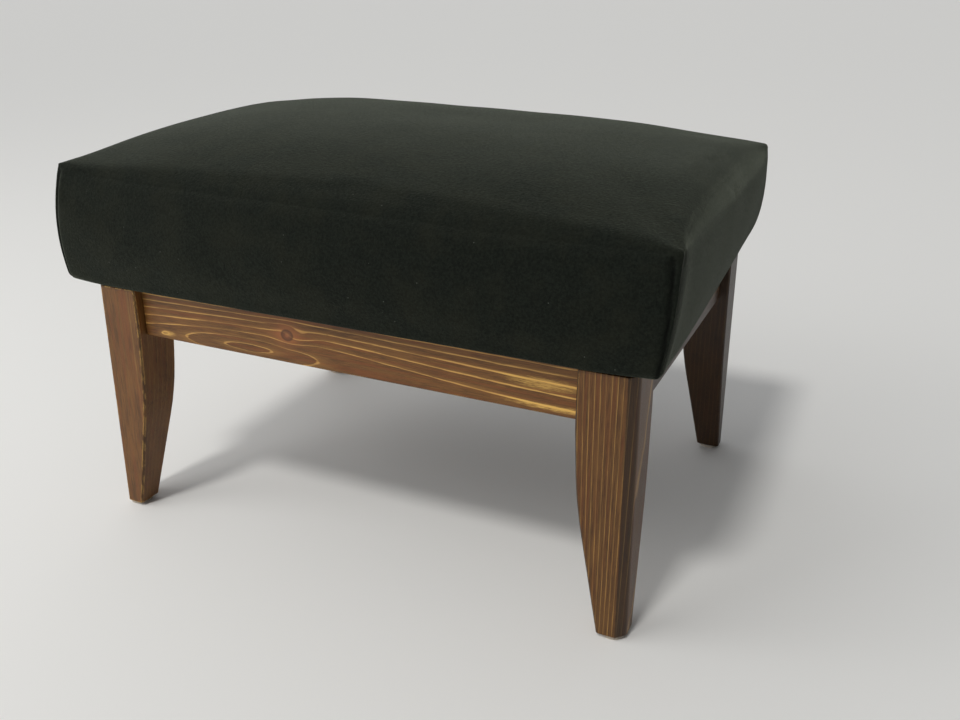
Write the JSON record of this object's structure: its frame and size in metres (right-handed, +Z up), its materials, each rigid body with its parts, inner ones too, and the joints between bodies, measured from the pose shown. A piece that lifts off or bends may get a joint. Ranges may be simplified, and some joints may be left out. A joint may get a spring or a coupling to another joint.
{
  "type": "kneeling bench",
  "caption": "Low kneeling bench or footstool: a crowned, cloth-covered seat pad on a doweled wooden frame with tapered, slightly splayed legs.",
  "frame": {"origin": "on the floor, under the middle of the seat pad", "axes": "+X along the pad's long side, +Y to the back, +Z up"},
  "size_m": [0.497, 0.345, 0.3187],
  "materials": {
    "stained_pine": "satin",
    "beech": "matte",
    "block_pine": "matte",
    "plywood": "matte",
    "zinc_steel": "satin",
    "foam": "matte",
    "wadding": "matte",
    "cover_cloth": "matte",
    "dust_cloth": "matte",
    "glide_felt": "matte"
  },
  "bodies": {
    "root": {"leg_front_left": "stained_pine", "leg_front_right": "stained_pine", "leg_back_left": "stained_pine", "leg_back_right": "stained_pine", "apron_front": "stained_pine", "apron_back": "stained_pine", "apron_left": "stained_pine", "apron_right": "stained_pine", "dowel_front_apron_left_lower": "beech", "dowel_left_apron_front_lower": "beech", "dowel_front_apron_left_upper": "beech", "dowel_left_apron_front_upper": "beech", "dowel_front_apron_right_lower": "beech", "dowel_right_apron_front_lower": "beech", "dowel_front_apron_right_upper": "beech", "dowel_right_apron_front_upper": "beech", "dowel_back_apron_left_lower": "beech", "dowel_left_apron_back_lower": "beech", "dowel_back_apron_left_upper": "beech", "dowel_left_apron_back_upper": "beech", "dowel_back_apron_right_lower": "beech", "dowel_right_apron_back_lower": "beech", "dowel_back_apron_right_upper": "beech", "dowel_right_apron_back_upper": "beech", "corner_block_front_left": "block_pine", "corner_block_front_right": "block_pine", "corner_block_back_left": "block_pine", "corner_block_back_right": "block_pine", "block_screw_front_left_long": "zinc_steel", "block_screw_front_left_short": "zinc_steel", "block_screw_front_right_long": "zinc_steel", "block_screw_front_right_short": "zinc_steel", "block_screw_back_left_long": "zinc_steel", "block_screw_back_left_short": "zinc_steel", "block_screw_back_right_long": "zinc_steel", "block_screw_back_right_short": "zinc_steel", "seat_screw_front_left": "zinc_steel", "seat_screw_front_right": "zinc_steel", "seat_screw_back_left": "zinc_steel", "seat_screw_back_right": "zinc_steel", "glide_front_left": "glide_felt", "glide_front_right": "glide_felt", "glide_back_left": "glide_felt", "glide_back_right": "glide_felt", "seat_board": "plywood", "seat_foam": "foam", "seat_wadding": "wadding", "seat_cover": "cover_cloth", "dust_cover": "dust_cloth"}
  },
  "joints": []
}
